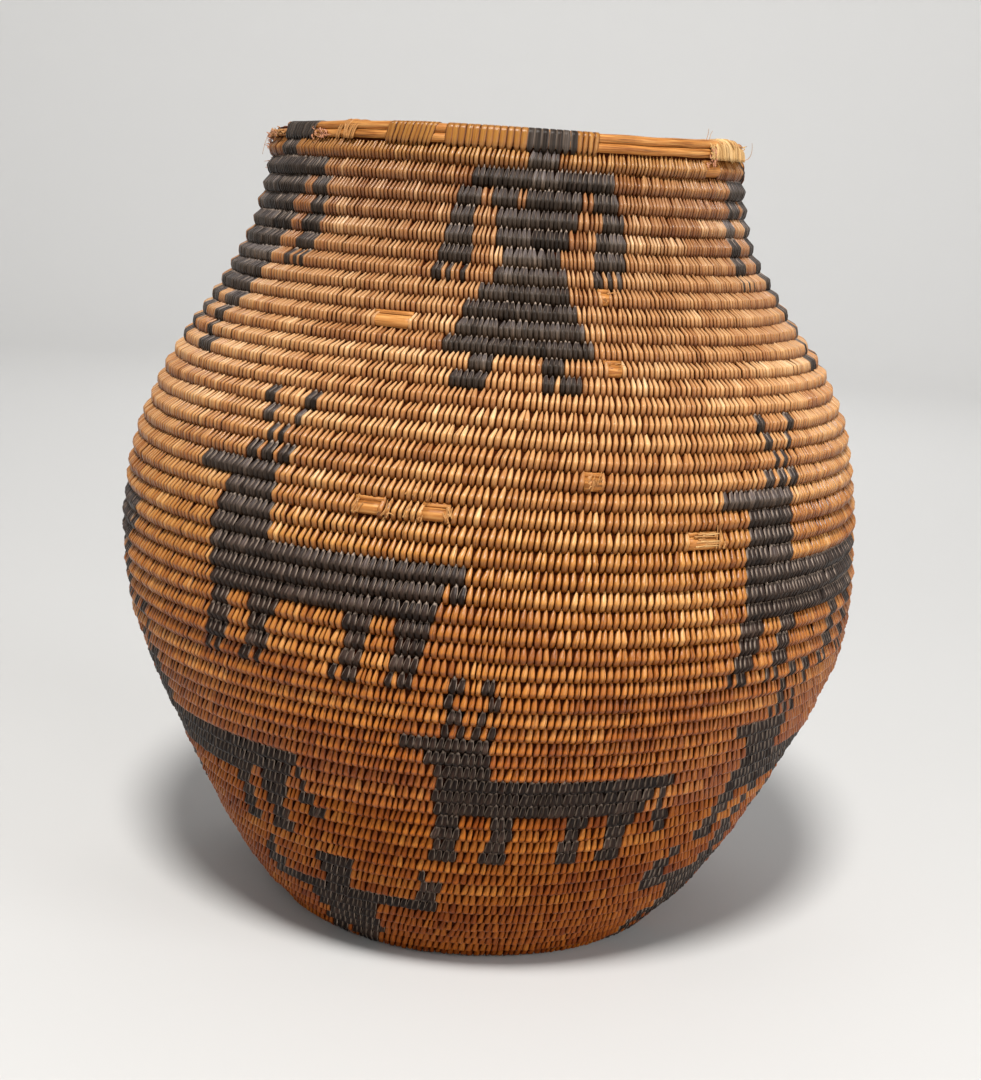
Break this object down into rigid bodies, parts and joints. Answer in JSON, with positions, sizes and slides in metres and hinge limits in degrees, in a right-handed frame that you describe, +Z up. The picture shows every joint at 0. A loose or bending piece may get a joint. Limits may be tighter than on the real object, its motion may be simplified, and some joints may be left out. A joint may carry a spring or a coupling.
{
  "type": "basket",
  "caption": "tall coiled basketry jar with a flat base, round belly, short neck, worn rim and dark human and deer figures",
  "frame": {"origin": "on the surface that the jar stands on, on the flat underside of the base, under the middle of the belly", "axes": "+Z up along the jar's axis, -Y the front with the standing figure under the black stretch of the rim, +X to the right of the front"},
  "size_m": [0.2496, 0.2492, 0.2649],
  "materials": {
    "willow_splint": "peeled willow splint, tan, slightly polished by handling",
    "aged_willow": "peeled willow splint, aged to amber",
    "black_splint": "devil's claw splint, brown-black with a soft sheen",
    "willow_rod": "bare peeled willow rod, satin",
    "straw_fibre": "dry straw-coloured repair fibre, matt"
  },
  "bodies": {
    "root": {"base_start_knot": "aged_willow", "base_coil": "aged_willow", "heel_coil": "aged_willow", "lower_wall_coil": "aged_willow", "lower_belly_coil": "willow_splint", "upper_belly_coil": "willow_splint", "shoulder_coil": "willow_splint", "neck_coil": "willow_splint", "rim_rod_lower": "willow_rod", "rim_rod_inner": "willow_rod", "rim_rod_upper_back": "willow_rod", "rim_rod_upper_front": "willow_rod", "rim_sewing_tuft": "willow_splint", "rim_sewing_front": "willow_splint", "rim_sewing_front_end": "willow_splint", "rim_sewing_right": "willow_splint", "rim_sewing_back": "willow_splint", "rim_sewing_left": "willow_splint", "rim_sewing_black_left": "black_splint", "rim_sewing_black_front": "black_splint", "rim_sewing_black_right": "black_splint", "rim_sewing_black_back": "black_splint", "rim_repair_wrap": "straw_fibre"}
  },
  "joints": []
}
